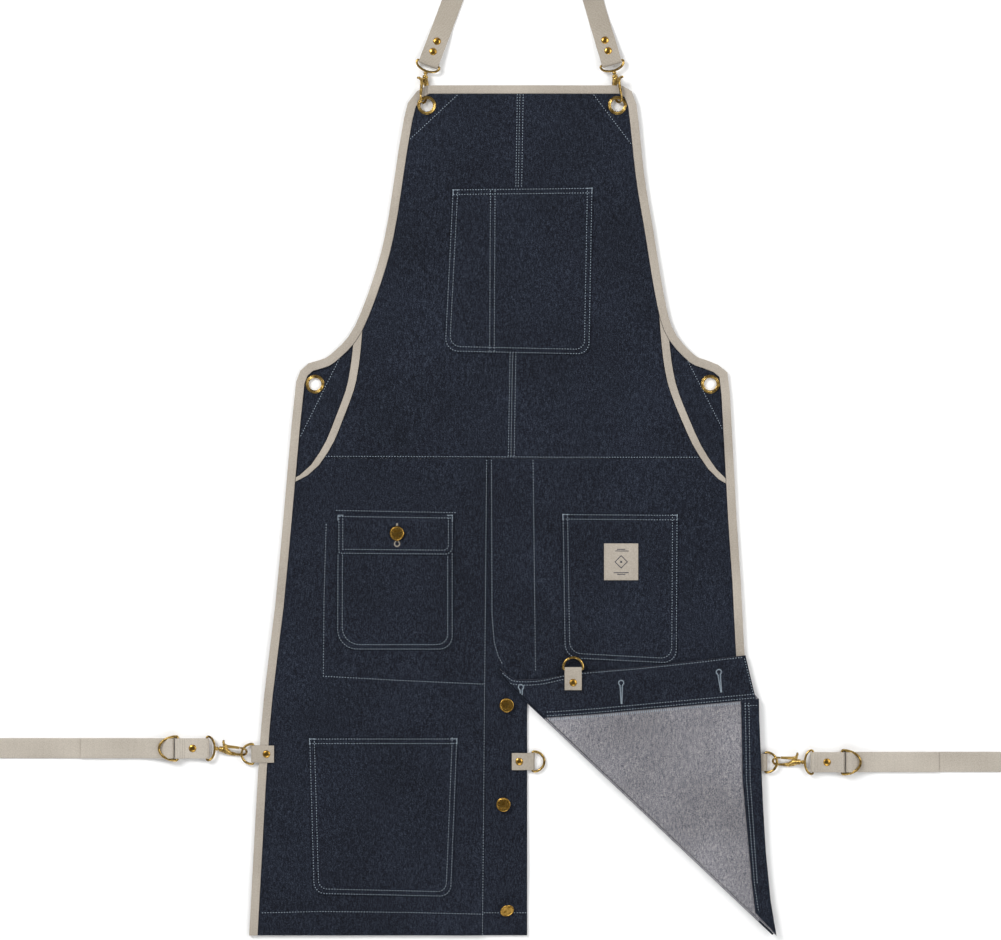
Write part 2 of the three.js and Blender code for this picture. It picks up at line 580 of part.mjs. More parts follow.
const TAB_HEIGHT = TAB_CLOTH + GAP + WIRE;
const TILT = Math.asin((BAR_HEIGHT - TAB_HEIGHT) / TAB_RING.depth); // the hook holds an outer ring up
makeTab('outer_left', [-311.5, 217.5, TAB_HEIGHT], 0, TILT);
makeTab('inner_left', [23.5, 208.5, TAB_HEIGHT], Math.PI, 0);
makeTab('outer_right', [302.5, 207.5, TAB_HEIGHT], Math.PI, TILT);
makeTab('inner_right', [72, 319.5, TURNED + WIRE], -QUARTER, 0);

const NECK_AXIS = 5.9; // height of a neck hook's own axis
const left = makeSnap('neck_left', [-108, 998, NECK_AXIS], 84.7 * DEGREE, NECK_ROLL, 69.5 * DEGREE);
const right = makeSnap('neck_right', [127.5, 998.8, NECK_AXIS], 100 * DEGREE, Math.PI - NECK_ROLL, 106.2 * DEGREE);
makeNeckStrap([left, right]);

makeLegStrap('left', makeSnap('leg_left', [-319.4, 220, BAR_HEIGHT], 173.5 * DEGREE, Math.PI - LEG_ROLL, Math.PI));
makeLegStrap('right', makeSnap('leg_right', [311.5, 209.5, BAR_HEIGHT], -2.5 * DEGREE, LEG_ROLL, 0));

export default apron;
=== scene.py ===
# %% [markdown]
# # A split-leg denim work apron, lying face up
# The apron is sewn from indigo denim, bound at its edges with unbleached tape and worn on
# cotton webbing with brass snap hooks. Each piece below starts from the fixed frame, so it lands in
# its place, and is then given the thickness, waves, folds and stitches that the frame leaves out.

# %% The frame and the tools
import json
import math

import bmesh
import bpy
from mathutils import Euler, Matrix, Vector, kdtree, noise


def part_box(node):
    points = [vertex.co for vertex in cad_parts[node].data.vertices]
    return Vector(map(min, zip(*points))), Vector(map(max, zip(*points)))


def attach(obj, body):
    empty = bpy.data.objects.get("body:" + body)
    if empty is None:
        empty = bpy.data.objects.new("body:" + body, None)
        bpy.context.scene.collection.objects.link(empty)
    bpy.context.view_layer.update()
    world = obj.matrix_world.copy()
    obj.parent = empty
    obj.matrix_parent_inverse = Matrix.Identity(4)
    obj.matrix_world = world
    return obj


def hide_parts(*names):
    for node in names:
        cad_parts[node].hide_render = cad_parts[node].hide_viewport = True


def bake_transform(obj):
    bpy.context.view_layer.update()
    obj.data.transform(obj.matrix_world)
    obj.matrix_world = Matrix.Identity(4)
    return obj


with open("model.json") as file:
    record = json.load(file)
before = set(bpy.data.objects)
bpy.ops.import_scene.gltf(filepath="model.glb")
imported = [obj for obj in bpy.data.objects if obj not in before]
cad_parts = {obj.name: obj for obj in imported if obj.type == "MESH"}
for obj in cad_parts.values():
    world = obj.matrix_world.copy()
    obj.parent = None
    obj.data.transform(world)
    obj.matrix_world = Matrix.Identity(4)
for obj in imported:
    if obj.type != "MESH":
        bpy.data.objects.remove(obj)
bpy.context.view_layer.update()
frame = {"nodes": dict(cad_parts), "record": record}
scene = bpy.context.scene
MM = 0.001
TAU = 2 * math.pi
bodies = frame["record"]["behaviour"]["bodies"]
body_of_node = {node: body for body, nodes in bodies.items() for node in nodes}


def meshed(name, bm):
    mesh = bpy.data.meshes.new(name)
    bm.to_mesh(mesh)
    bm.free()
    return mesh


# %% [markdown]
# ## Places
# The frame's origin is the middle of everything. The apron was drawn from the middle of its hem,
# which is easier to think in, so places below are in millimetres from there, and `at` moves them.

# %% From the hem's middle to the frame
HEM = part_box("leg_left")[0][1] / MM  # where the hem lies in the frame


def at(x, y, z=0.0):
    return Vector((x, y + HEM, z)) * MM


def middle(node):
    low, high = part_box(node)
    return (Vector(low) + Vector(high)) / 2


crease = (at(-24, 320.5), at(315, 0))  # where the corner turns up
ACROSS_CREASE = Vector((0.687, 0.727, 0))
print("hem at y =", round(HEM, 1), "mm")

# %% [markdown]
# ## Camera, floor and light
# The camera looks straight down from four metres through a long lens, so heights hardly shift what
# it sees. Three large soft lamps stand round the cloth. They rake it, which shows its waves, and
# leave the space above dim, so that flat brass reads darker than its bright rims.

# %% Camera
camera = bpy.data.objects.new("camera", bpy.data.cameras.new("camera"))
scene.collection.objects.link(camera)
camera.location = at(-15, 558, 4000)
camera.data.sensor_width = 36
camera.data.lens = 36 * 4000 / 1201.2  # the view is 1201 mm wide at the floor
camera.data.clip_end = 50
scene.camera = camera
print("camera at", tuple(round(c, 3) for c in camera.location))

# %% [markdown]
# The floor lies a little under the cloth. Each lamp is turned to face the apron's middle.

# %% Floor and lamps
bm = bmesh.new()
bmesh.ops.create_grid(bm, x_segments=1, y_segments=1, size=6)
bmesh.ops.translate(bm, verts=bm.verts, vec=(0, 0, -0.0004))
floor = bpy.data.objects.new("floor", meshed("floor", bm))
scene.collection.objects.link(floor)
for name, place, size, power in (
    ("key", (-1.9, 1.5, 2.3), 1.4, 84), ("fill", (2.1, 0.4, 2.2), 2.0, 40),
    ("back", (0.2, -2.4, 2.0), 1.6, 20)
):
    lamp = bpy.data.objects.new(name, bpy.data.lights.new(name, "AREA"))
    lamp.data.size = size
    lamp.data.energy = power
    lamp.location = place
    lamp.rotation_euler = (-Vector(place)).to_track_quat("-Z", "Y").to_euler()
    scene.collection.objects.link(lamp)
scene.view_settings.view_transform = "Standard"
print("floor and three lamps")


# %% [markdown]
# ## Materials
# Colours are written as the hex values seen on a screen, and one function turns them to the linear
# light that Blender works in. One small function adds a node with its settings and its inputs.

# %% Helpers for materials
def linear(code, alpha=1.0):
    parts = [int(code[i : i + 2], 16) / 255 for i in (1, 3, 5)]
    return (*[c / 12.92 if c < 0.04045 else ((c + 0.055) / 1.055) ** 2.4 for c in parts], alpha)


def node(material, kind, inputs=(), **settings):
    made = material.node_tree.nodes.new("ShaderNode" + kind)
    for key, value in settings.items():
        setattr(made, key, value)
    for key, value in dict(inputs).items():
        if isinstance(value, bpy.types.NodeSocket):
            material.node_tree.links.new(value, made.inputs[key])
        else:
            made.inputs[key].default_value = value
    return made


def material(name, **sockets):
    made = bpy.data.materials.new(name)
    made.use_nodes = True
    shader = made.node_tree.nodes["Principled BSDF"]
    for key, value in sockets.items():
        shader.inputs[key.replace("_", " ")].default_value = value
    return made, shader


def link(made, output, target):
    made.node_tree.links.new(output, target)


def ramp_of(made, value, *stops):
    ramp = node(made, "ValToRGB", {"Fac": value})
    for element, (position, code) in zip(ramp.color_ramp.elements, stops):
        element.position = position
        element.color = linear(code)
    return ramp


# %% [markdown]
# ### Denim
# Denim is a twill of dark warp over pale weft. Warp yarns vary in thickness, which gives short
# upright streaks, and the weft shows between them as pale specks. A real twill repeats about
# every 0.6 mm, too fine to show from here, so its ribs are drawn 1.5 mm apart. The wrong side is the
# same cloth with mostly weft showing, so it is grey.

# %% Denim
def denim(name, dark, mid, pale, speck):
    made, shader = material(name, Roughness=0.92, Specular_IOR_Level=0.18)
    place = node(made, "TexCoord").outputs["Object"]
    tall = node(made, "Mapping", {"Vector": place, "Scale": (1, 0.3, 1)}).outputs[0]
    slubs = node(made, "TexNoise", {"Vector": tall, "Scale": 620, "Detail": 3, "Roughness": 0.7}).outputs[0]
    specks = node(made, "TexNoise", {"Vector": place, "Scale": 880, "Detail": 2, "Roughness": 0.8}).outputs[0]
    dye = node(made, "TexNoise", {"Vector": place, "Scale": 9, "Detail": 2}).outputs[0]
    yarn = node(made, "Mix", {"Factor": 0.62, "A": slubs, "B": specks}).outputs[0]
    ramp = ramp_of(made, yarn, (0.38, dark), (speck, pale))
    ramp.color_ramp.elements.new(0.5).color = linear(mid)
    shade = node(made, "MapRange",
                 {"Value": dye, "From Min": 0.3, "From Max": 0.7, "To Min": 0.8, "To Max": 1.15})
    tinted = node(made, "Mix", data_type="RGBA", blend_type="MULTIPLY")
    tinted.inputs[0].default_value = 1.0
    link(made, ramp.outputs[0], tinted.inputs[6])
    link(made, shade.outputs[0], tinted.inputs[7])
    link(made, tinted.outputs[2], shader.inputs["Base Color"])
    turned = node(made, "Mapping", {"Vector": place, "Rotation": (0, 0, math.radians(27))}).outputs[0]
    ribs = node(made, "TexWave", {"Vector": turned, "Scale": 0.314 / 0.0015, "Distortion": 1.5}).outputs[1]
    relief = node(made, "Mix", {"Factor": 0.5, "A": ribs, "B": specks}).outputs[0]
    bump = node(made, "Bump", {"Height": relief, "Strength": 0.35, "Distance": 0.0004}).outputs[0]
    link(made, bump, shader.inputs["Normal"])
    return made


indigo = denim("indigo denim, right side", "#080a10", "#161a25", "#404855", 0.71)
wrong_side = denim("indigo denim, wrong side", "#4b4d54", "#7c7b81", "#aba7a4", 0.66)
print("denim, both sides")

# %% [markdown]
# ### Tape, webbing and thread
# The binding is a plain cotton tape and the straps are thick cotton webbing. Webbing is woven with
# ribs that run across it, so its pattern follows a map laid along each strap. The thread is a
# pale blue-white polyester, and a cream one on the tape.

# %% Cotton
def cotton(name, dark, pale, pitch, along_map=False):
    made, shader = material(name, Roughness=0.9, Sheen_Weight=0.15, Sheen_Roughness=0.5)
    coords = node(made, "TexCoord").outputs
    place = coords["UV" if along_map else "Object"]
    ribs = node(made, "TexWave",
                {"Vector": place, "Scale": 0.314 / pitch, "Distortion": 0.6, "Detail": 1}).outputs[1]
    fuzz = node(made, "TexNoise",
                {"Vector": coords["Object"], "Scale": 700, "Detail": 3, "Roughness": 0.7}).outputs[0]
    stain = node(made, "TexNoise", {"Vector": coords["Object"], "Scale": 14, "Detail": 1}).outputs[0]
    weave = node(made, "Mix", {"Factor": 0.72, "A": ribs, "B": fuzz}).outputs[0]
    tone = node(made, "Mix", {"Factor": 0.3, "A": weave, "B": stain}).outputs[0]
    ramp = ramp_of(made, tone, (0.25, dark), (0.75, pale))
    link(made, ramp.outputs[0], shader.inputs["Base Color"])
    bump = node(made, "Bump", {"Height": weave, "Strength": 0.4, "Distance": 0.0003}).outputs[0]
    link(made, bump, shader.inputs["Normal"])
    return made


tape = cotton("unbleached cotton tape", "#857c70", "#bfb6a9", 0.0014)
webbing = cotton("cotton webbing, ribbed", "#8f867a", "#cbc3b6", 0.0014, along_map=True)
old_webbing = cotton("cotton webbing, unbleached", "#7f7669", "#b9b0a2", 0.0014, along_map=True)
blue_thread = material("pale blue polyester thread", Base_Color=linear("#98a6b1"), Roughness=0.6)[0]
cream_thread = material("cream cotton thread", Base_Color=linear("#b5ac9c"), Roughness=0.7)[0]
ink = material("navy printing ink", Base_Color=linear("#262c3a"), Roughness=0.8)[0]
print("tape, webbing, threads and ink")

# %% [markdown]
# ### Brass
# The hooks, rings and grommets are solid or plated brass with a light antique finish: bright where
# they are handled and brown where they aren't. Noise 4 mm across stands for that, and it also
# changes how sharp the reflections are. The tack buttons are browner.

# %% Brass
def brass(name, dull, bright):
    made, shader = material(name, Metallic=1.0)
    place = node(made, "TexCoord").outputs["Object"]
    tarnish = node(made, "TexNoise",
                   {"Vector": place, "Scale": 250, "Detail": 4, "Roughness": 0.6}).outputs[0]
    ramp = ramp_of(made, tarnish, (0.36, dull), (0.62, bright))
    link(made, ramp.outputs[0], shader.inputs["Base Color"])
    gloss = node(made, "MapRange",
                 {"Value": tarnish, "From Min": 0.35, "From Max": 0.65, "To Min": 0.36, "To Max": 0.2})
    link(made, gloss.outputs[0], shader.inputs["Roughness"])
    return made


antique = brass("antique brass", "#59431d", "#cdab63")
button_brass = brass("brown brass, pressed", "#7c5b22", "#d6aa55")
paper = material("matt white floor", Base_Color=linear("#fbfbfa"), Roughness=0.95)[0]
floor.data.materials.append(paper)
world = bpy.data.worlds.new("studio")
world.use_nodes = True
scene.world = world
sky = node(world, "TexCoord").outputs["Generated"]
height = node(world, "SeparateXYZ", {"Vector": sky}).outputs["Z"]
dome = ramp_of(world, height, (0.55, "#f4f5f8"), (0.97, "#4a4b50"))  # dim on the camera's side
link(world, dome.outputs[0], world.node_tree.nodes["Background"].inputs[0])
world.node_tree.nodes["Background"].inputs[1].default_value = 0.62
print("brass, floor and room light")


# %% [markdown]
# ## How the cloth lies
# A flat sheet of heavy denim is never quite flat. One height field, made of three sizes of
# noise, moves every layer together, so layers don't cut through each other. It fades out round the
# metal parts, which keep the places that the frame gives them, and along the flap's hinge.

# %% One height field for all the cloth
metal = [node_name for node_name in body_of_node
         if node_name.startswith(("grommet", "button_", "tab_", "ring_")) and node_name != "button_strip"]
flap_hinge = [at(x, 506) for x in range(-210, -70, 20)]
calm = [middle(node_name) for node_name in metal] + flap_hinge
still = kdtree.KDTree(len(calm))
for i, place in enumerate(calm):
    still.insert((place.x, place.y, 0), i)
still.balance()


def ease(value, low, high):
    t = min(1.0, max(0.0, (value - low) / (high - low)))
    return t * t * (3 - 2 * t)


def wave(x, y):
    slow = noise.noise(Vector((x * 6.5, y * 4.0, 1.7))) + 0.5 * noise.noise(Vector((x * 17, y * 11, 4.2)))
    fine = noise.noise(Vector((x * 42, y * 30, 9.1)))
    away = ease(still.find((x, y, 0))[2], 0.014, 0.06)
    return max(0.0, 1.1 + 1.5 * slow + 0.3 * fine) * MM * away


print("height at the middle of the bib:", round(wave(0, 0.2) / MM, 2), "mm")

# %% [markdown]
# A pocket is sewn down round its edge and loose inside it, so its face stands a little proud in
# the middle. The label lies on such a face, so it rises with it.

# %% Pockets that stand proud
SWELL = {"bib_pocket": 1.6, "lower_pocket": 1.8, "right_pocket": 1.4}


def swell(x, y):
    rise = 0.0
    for pocket, height in SWELL.items():
        low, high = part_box(pocket)
        inside = min(x - low[0], high[0] - x, y - low[1], high[1] - y)
        if inside > 0:
            rise = max(rise, height * MM * ease(inside, 0.004, 0.045))
    return rise


# The turned corner sinks towards the leg, except over the two tabs that hold it up.
def droop(x, y):
    tabs = [middle("tab_inner_right"), middle("tab_outer_right")]
    clear = min(math.hypot(x - t.x, y - t.y) for t in tabs)
    past = (Vector((x, y, 0)) - crease[0]).dot(ACROSS_CREASE)
    return -2.3 * MM * ease(clear, 0.02, 0.07) * ease(past, 0.008, 0.05)


print("rise in the middle of the bib pocket:", round(swell(0.006, 0.13) / MM, 2), "mm")


# %% [markdown]
# ## Cutting cloth
# A panel starts as a copy of its plate in the frame, whose outline is already right. Flat faces are
# merged, then cut by planes into a grid fine enough to bend, and each point is lifted by the height
# field. The underside is the wrong side of the cloth.

# %% The panel maker
def piece(name, mesh, body, look, nodes=(), smooth=True):
    made = bpy.data.objects.new(name, mesh)
    scene.collection.objects.link(made)
    for one in look if isinstance(look, (list, tuple)) else [look]:
        mesh.materials.append(one)
    if smooth:
        mesh.shade_smooth()
    if body:  # a piece that bends across a joint rides on nothing
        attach(made, body)
    if nodes:
        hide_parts(*nodes)
    return made


def cut_in_grid(bm, cell):
    for axis in (0, 1):
        values = [v.co[axis] for v in bm.verts]
        low, high = min(values), max(values)
        cuts = max(1, round((high - low) / cell))
        normal = Vector((axis == 0, axis == 1, 0))
        for i in range(1, cuts):
            spot = normal * (low + (high - low) * i / cuts)
            bmesh.ops.bisect_plane(bm, geom=bm.verts[:] + bm.edges[:] + bm.faces[:], dist=1e-6,
                                   plane_co=spot, plane_no=normal)
    return bm


def from_nodes(nodes, cell):
    bm = bmesh.new()
    for one in nodes:
        bm.from_mesh(frame["nodes"][one].data)
    bmesh.ops.remove_doubles(bm, verts=bm.verts, dist=2e-6)
    bmesh.ops.dissolve_limit(bm, angle_limit=0.004, verts=bm.verts, edges=bm.edges)
    return cut_in_grid(bm, cell)


# The fold's upper end is rounded off, as thick cloth turns.
def round_tip(v):
    corner = at(-26, 322)
    near = 1 - min(1.0, math.hypot(v.co.x - corner.x, v.co.y - corner.y) / 0.034)
    v.co += Vector((0.9, 0.1, 0)) * 0.0085 * near * near


def top_area(bm):
    bm.normal_update()
    return sum(f.calc_area() for f in bm.faces if f.normal.z > 0.5)


CLOTH_EDGE = 0.0003


def panel(name, nodes, cell=0.009, look=None, lift=lambda x, y: 0.0,
          bevel=CLOTH_EDGE):
    bm = from_nodes(nodes, cell)
    area = top_area(bm)
    for face in bm.faces:
        face.material_index = 1 if face.normal.z < -0.5 else 0
    for v in bm.verts:
        if lift is droop or name == "leg_cloth_right":
            round_tip(v)
        v.co.z += wave(v.co.x, v.co.y) + lift(v.co.x, v.co.y)
    mesh = meshed(name, bm)
    made = piece(name, mesh, body_of_node[nodes[0]], look or [indigo, wrong_side], nodes, smooth=False)
    if bevel:
        soften(made, bevel)
    print(name, len(mesh.polygons), "faces,", round(area, 4), "m2")
    return made


def soften(made, width, segments=3):
    made.data.shade_smooth()
    bevel = made.modifiers.new("rounded edges", "BEVEL")
    bevel.width = width
    bevel.segments = segments
    bevel.limit_method = "ANGLE"
    bevel.angle_limit = math.radians(50)
    bevel.harden_normals = False
    return bevel


# %% [markdown]
# Seven large panels make the bib, the two legs, the button strip and the two wings.

# %% The body panels
panel("bib_cloth_left", ["bib_left"])
panel("bib_cloth_right", ["bib_right"])
panel("leg_cloth_left", ["leg_left"])
panel("leg_cloth_right", ["leg_right"])
panel("strip_cloth", ["button_strip"])
panel("wing_cloth_left", ["wing_left"])
panel("wing_cloth_right", ["wing_right"])

# %% [markdown]
# Pockets are cut into a finer grid, because their faces rise and fall over a shorter way.

# %% The pockets, the flap and the label
panel("bib_pocket_cloth", ["bib_pocket"], 0.006, lift=swell)
panel("flap_pocket_cloth", ["flap_pocket"], 0.006)
panel("flap_cloth", ["pocket_flap"], 0.006)
panel("lower_pocket_cloth", ["lower_pocket"], 0.006, lift=swell)
panel("right_pocket_cloth", ["right_pocket"], 0.006, lift=swell)
panel("hidden_pocket_cloth", ["hidden_pocket"], 0.012, bevel=0.0)
panel("label_cloth", ["label"], 0.006, look=[tape, tape], lift=swell)

# %% [markdown]
# ### The turned-up corner
# Folding the corner up shows the grey wrong side, with the buttonhole band along one edge and the
# deep hem down the other. The cloth rolls over at the crease, which is a strip of its own.

# %% The turned corner and its band
panel("corner_cloth", ["turned_corner"], 0.008, look=[wrong_side, indigo], lift=droop)
panel("band_cloth", ["buttonhole_band"], 0.008, look=[indigo, indigo], lift=droop)

# %% [markdown]
# ### Binding tape
# The tape is folded over the raw edge and stands a little proud of the cloth. A rim with rounded
# edges gives the same outline and shadow, without the hidden turn of the tape underneath.

# %% Binding
for name, nodes in (("binding_top", ["tape_top"]), ("binding_left", ["tape_left"]),
                    ("binding_right", ["tape_right"]), ("pocket_binding_left", ["pocket_tape_left"]),
                    ("pocket_binding_right", ["pocket_tape_right"])):
    bm = from_nodes(nodes, 0.012)
    if name == "binding_right":  # it turns up with the corner, so it ends at the crease
        cut = bmesh.ops.bisect_plane(bm, geom=bm.verts[:] + bm.edges[:] + bm.faces[:], dist=1e-6,
                                     plane_co=at(313, 3),
                                     plane_no=-ACROSS_CREASE, clear_outer=True)["geom_cut"]
        bmesh.ops.holes_fill(bm, edges=[g for g in cut if isinstance(g, bmesh.types.BMEdge)])
    for v in bm.verts:
        v.co.z += wave(v.co.x, v.co.y)
    mesh = meshed(name, bm)
    made = piece(name, mesh, "apron", tape, nodes)
    soften(made, 0.0010 if "pocket" not in name else 0.0006)
    print(name, len(mesh.polygons), "faces")

# %% [markdown]
# ### The fold and the hem of the turned corner
# Where the corner turns up, the cloth rolls over itself. A half round of cloth stands for that roll.
# It crosses the hinge, with its lower edge on the leg and its upper edge at the corner.
# The deep hem down the corner's side is turned to the wrong side, so its blue face shows.

# %% The roll at the crease
run = (crease[1] - crease[0]).normalized()
out = run.cross(Vector((0, 0, 1)))
bm = bmesh.new()
arc = []
for i in range(9):
    turn = -math.pi / 2 + math.pi * i / 8
    arc.append(bm.verts.new(crease[0] + run * 0.002 + (out * math.cos(turn) * 2.4
                            + Vector((0, 0, 4.85 + 2.25 * math.sin(turn)))) * MM))
rib = [bm.edges.new(pair) for pair in zip(arc, arc[1:])]
length = (crease[1] - crease[0]).length - 0.006
bmesh.ops.spin(bm, geom=arc + rib, cent=(0, 0, 0), axis=(0, 0, 1), dvec=run * length / 60, angle=0, steps=60)
bmesh.ops.remove_doubles(bm, verts=bm.verts, dist=1e-5)
bmesh.ops.recalc_face_normals(bm, faces=bm.faces)
if sum(f.normal.dot(out) for f in bm.faces) < 0:
    bmesh.ops.reverse_faces(bm, faces=bm.faces)
for v in bm.verts:
    round_tip(v)
    v.co.z += wave(v.co.x, v.co.y)
for face in bm.faces:  # the blue band and the blue hem cross the crease at its two ends
    across = (face.calc_center_median() - crease[0]).dot(run)
    face.material_index = 1 if across < 0.088 or across > 0.44 else 0
mesh = meshed("corner_roll", bm)
roll = piece("corner_roll", mesh, None, [wrong_side, indigo])
thick = roll.modifiers.new("cloth thickness", "SOLIDIFY")
thick.thickness = 0.0006
thick.offset = -1
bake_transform(roll)
print("roll", round(length, 3), "m long")


# %% [markdown]
# The hem is a strip of the blue side, drawn from its outline and laid just above the grey cloth.

# %% The hem of the corner
def flat_piece(points, low, high, cell):
    bm = bmesh.new()
    outline = [bm.verts.new(at(x, y, low)) for x, y in points]
    face = bm.faces.new(outline)
    turning = sum((outline[i].co - outline[i - 1].co).cross(outline[i].co).z for i in range(len(outline)))
    if face.normal.z < 0 or turning < 0:
        bmesh.ops.reverse_faces(bm, faces=[face])
    raised = bmesh.ops.extrude_face_region(bm, geom=[face])["geom"]
    bmesh.ops.translate(bm, vec=(0, 0, (high - low) * MM),
                        verts=[g for g in raised if isinstance(g, bmesh.types.BMVert)])
    bmesh.ops.recalc_face_normals(bm, faces=bm.faces)
    return cut_in_grid(bm, cell)


bm = flat_piece([(273, 281.2), (275, 186), (286.5, 60), (290, 28), (315, 2), (308.6, 42), (302.8, 102),
                 (299.2, 162), (295, 258), (294.6, 284)], 7.6, 8.4, 0.008)
for v in bm.verts:
    v.co.z += wave(v.co.x, v.co.y) + droop(v.co.x, v.co.y)
mesh = meshed("corner_hem", bm)
hem = piece("corner_hem", mesh, "corner", [indigo])
soften(hem, CLOTH_EDGE)
print("hem", len(mesh.polygons), "faces")


# %% [markdown]
# ## Webbing straps and tabs
# The straps are already folded over their bars in the frame, with the right thickness. Each is
# copied, cut finely enough to waver a little at its woven edges, and given a map that runs along
# it, so that the ribs lie across it even where it turns.

# %% The strap maker
def ribbon(name, node_name, heading_of, look=None, edge=0.0004):
    bm = from_nodes([node_name], 0.006)
    for v in bm.verts:
        v.co += 0.00018 * noise.noise_vector(v.co * 190) * Vector((1, 1, 0.3))
    layer = bm.loops.layers.uv.new("along the strap")
    for face in bm.faces:
        turn = heading_of(face.calc_center_median())
        along, across = Vector((math.cos(turn), math.sin(turn), 0)), Vector((-math.sin(turn), math.cos(turn),
                                                                             0))
        for loop in face.loops:
            loop[layer].uv = (loop.vert.co.dot(along) + loop.vert.co.z, loop.vert.co.dot(across))
    mesh = meshed(name, bm)
    made = piece(name, mesh, body_of_node[node_name], look or webbing, [node_name])
    soften(made, edge)
    print(name, len(mesh.polygons), "faces")
    return made


def neck_heading(place):
    if place.y > at(0, 1306).y:
        return 0.0
    return math.radians(69.5 if place.x < 0.01 else 106.2)


ribbon("neck_webbing", "neck_strap", neck_heading, look=old_webbing)
for side in ("left", "right"):
    ribbon(f"strap_end_webbing_{side}", f"strap_end_{side}", lambda place: 0.0)
for tab, turn in (("outer_left", 0), ("inner_left", 0), ("outer_right", 0), ("inner_right", math.pi / 2)):
    ribbon(f"tab_webbing_{tab}", f"tab_{tab}", lambda place, turn=turn: turn, look=old_webbing, edge=0.00025)


# %% [markdown]
# ### The long leg webbing
# The webbing runs up through both rings, back over the lower one and under the upper one, which is
# how two rings grip a belt. It is drawn once as a line seen from its edge, in millimetres from the
# hook's bar, then run across its width and given its thickness by a modifier.

# %% Two long straps
STRAP_REACH = 706  # from the centre line out to the far hook's bar
EYE_DEPTH, EYE_POST = 9.5, 16.4  # of a hook: its eye, and the way from its barrel to that eye
BOW_LENGTH = 22
strap_x = {"left": (-367.05, 224.35, -1), "right": (359.36, 207.83, 1)}


def smooth_line(points, steps=8):
    line = []
    for i in range(len(points) - 1):
        a, b = points[max(0, i - 1)], points[i]
        c, d = points[i + 1], points[min(len(points) - 1, i + 2)]
        for k in range(steps):
            t = k / steps
            line.append(tuple(
                0.5 * (2 * b[j] + (c[j] - a[j]) * t + (2 * a[j] - 5 * b[j] + 4 * c[j] - d[j]) * t * t
                                     + (3 * b[j] - a[j] - 3 * c[j] + d[j]) * t ** 3) for j in (0, 1)))
    return [*line, points[-1]]


for side, (x, y, way) in strap_x.items():
    reach = STRAP_REACH - abs(x)
    far_turn = [(reach + 2.35 * math.cos(t),
                 3.4 + 2.35 * math.sin(t)) for t in [math.radians(d) for d in range(-90, 91, 20)]]
    path = [(151.4, 2.1), (130, 2.1), (100, 2.1), (78, 2.15), (68, 3.3), (60, 5.0), (55, 5.6), (50, 7.2),
            (45.5, 8.4), (41.4, 7.6), (39.8, 5.0), (40.2, 2.2), (43, 0.8), (50, 0.66), (70, 0.66)]
    path += [(d, 0.66) for d in range(95, int(reach) - 28, 25)] + [(reach - 24, 0.66), (reach - 8, 0.9)]
    path = smooth_line(path, 5) + far_turn + [(reach - 10, 5.6), (reach - 20, 4.0), (reach - 28, 2.1),
                                              (reach - 38, 2.05)]
    bm = bmesh.new()
    line = [bm.verts.new(Vector((d, -12, z)) * MM) for d, z in path]
    edges = [bm.edges.new(pair) for pair in zip(line, line[1:])]
    bmesh.ops.spin(bm, geom=line + edges, cent=(0, 0, 0), axis=(0, 0, 1), dvec=(0, 0.004, 0), angle=0,
                   steps=6)
    bmesh.ops.remove_doubles(bm, verts=bm.verts, dist=1e-5)
    bmesh.ops.recalc_face_normals(bm, faces=bm.faces)
    distance = [0.0]
    for (x0, z0), (x1, z1) in zip(path, path[1:]):
        distance.append(distance[-1] + math.hypot(x1 - x0, z1 - z0) * MM)
    mark = kdtree.KDTree(len(path))
    for i, (d, z) in enumerate(path):
        mark.insert((d * MM, 0, z * MM), i)
    mark.balance()
    layer = bm.loops.layers.uv.new("along the strap")
    for face in bm.faces:
        for loop in face.loops:
            i = mark.find((loop.vert.co.x, 0, loop.vert.co.z))[1]
            loop[layer].uv = (distance[i], loop.vert.co.y)
    for v in bm.verts:
        v.co += 0.00015 * noise.noise_vector(v.co * 190) * Vector((0, 1, 0))
    bmesh.ops.transform(bm, matrix=Matrix.Translation(at(x, y)) @ Matrix.Rotation(0 if way > 0 else math.pi,
                                                                                  4, "Z"), verts=bm.verts)
    mesh = meshed("leg_webbing", bm)
    made = piece(f"leg_webbing_{side}", mesh, body_of_node[f"leg_strap_{side}"], webbing,
                 [f"leg_strap_{side}"])
    thick = made.modifiers.new("webbing thickness", "SOLIDIFY")
    thick.thickness = 0.00125
    thick.offset = 0
    soften(made, 0.0003, 2)
    print(made.name, round(distance[-1], 3), "m of webbing")

# %% [markdown]
# ## Brass hardware
# Everything round is turned: half its outline is drawn and spun. Wires are curves with a round
# section, which keeps D rings and hooks smooth where they bend. Each piece is made flat, then
# carried to its place by one matrix.

# %% Makers for turned parts and wires
def carried(bm, matrix):
    bmesh.ops.transform(bm, matrix=matrix, verts=bm.verts)
    if matrix.determinant() < 0:
        bmesh.ops.reverse_faces(bm, faces=bm.faces)
    return bm


def turned(profile, steps=40):
    bm = bmesh.new()
    line = [bm.verts.new((r * MM, 0, z * MM)) for r, z in profile]
    edges = [bm.edges.new(pair) for pair in zip(line, line[1:])]
    if profile[0][0] > 0 and profile[-1][0] > 0:
        edges.append(bm.edges.new((line[-1], line[0])))
    bmesh.ops.spin(bm, geom=line + edges, cent=(0, 0, 0), axis=(0, 0, 1), angle=TAU, steps=steps,
                   use_merge=True)
    bmesh.ops.remove_doubles(bm, verts=bm.verts, dist=2e-6)
    bmesh.ops.recalc_face_normals(bm, faces=bm.faces)
    return bm


